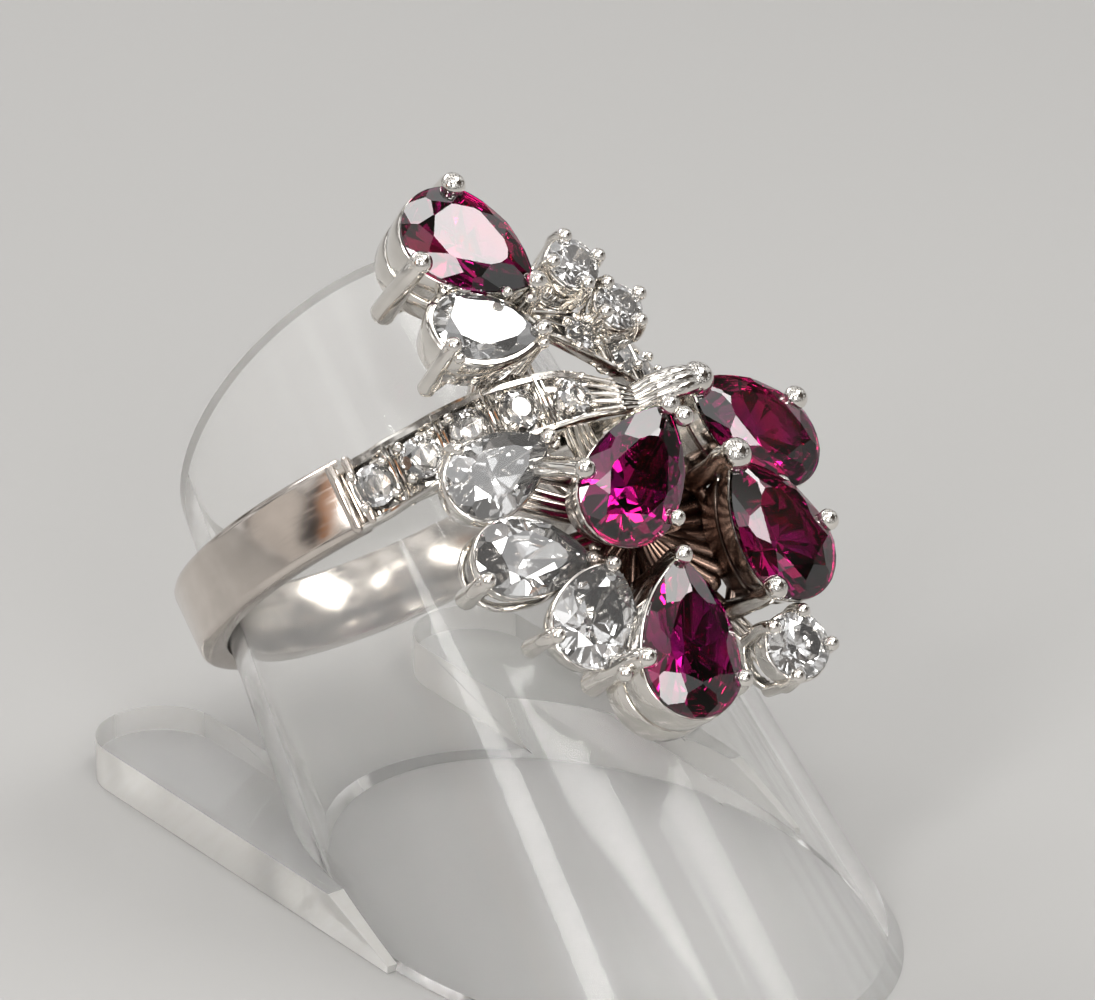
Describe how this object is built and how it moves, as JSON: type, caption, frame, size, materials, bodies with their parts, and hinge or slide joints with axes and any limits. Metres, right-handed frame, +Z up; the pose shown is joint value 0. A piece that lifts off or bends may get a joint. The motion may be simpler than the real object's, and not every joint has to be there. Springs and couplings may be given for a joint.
{
  "type": "ruby ring on display stand",
  "caption": "White-gold bypass ring with a spray of pear-cut rubies and diamonds, on a clear slanted finger stand.",
  "frame": {"origin": "on the table under the middle of the stand and ring's bounding box", "axes": "+Z up; +Y back, the way the stand's finger leans up and away; +X to the right seen from the ring's head"},
  "size_m": [0.022, 0.0362, 0.0286],
  "materials": {
    "clear_acrylic": "clear polished acrylic",
    "white_gold": "polished white gold, lightly scratched",
    "ruby": "clear faceted deep magenta red",
    "diamond": "clear faceted"
  },
  "bodies": {
    "root": {"display_stand": "clear_acrylic", "ring_mount": "white_gold", "ruby_1": "ruby", "ruby_2": "ruby", "ruby_3": "ruby", "ruby_4": "ruby", "ruby_5": "ruby", "pear_diamond_1": "diamond", "pear_diamond_2": "diamond", "pear_diamond_3": "diamond", "pear_diamond_4": "diamond", "round_diamond_1": "diamond", "round_diamond_2": "diamond", "round_diamond_3": "diamond", "shoulder_diamond_1": "diamond", "shoulder_diamond_2": "diamond", "shoulder_diamond_3": "diamond", "shoulder_diamond_4": "diamond", "shoulder_diamond_5": "diamond", "shoulder_diamond_6": "diamond", "shoulder_diamond_7": "diamond", "shoulder_diamond_8": "diamond", "shoulder_diamond_9": "diamond", "shoulder_diamond_10": "diamond", "shoulder_diamond_11": "diamond", "shoulder_diamond_12": "diamond"}
  },
  "joints": []
}
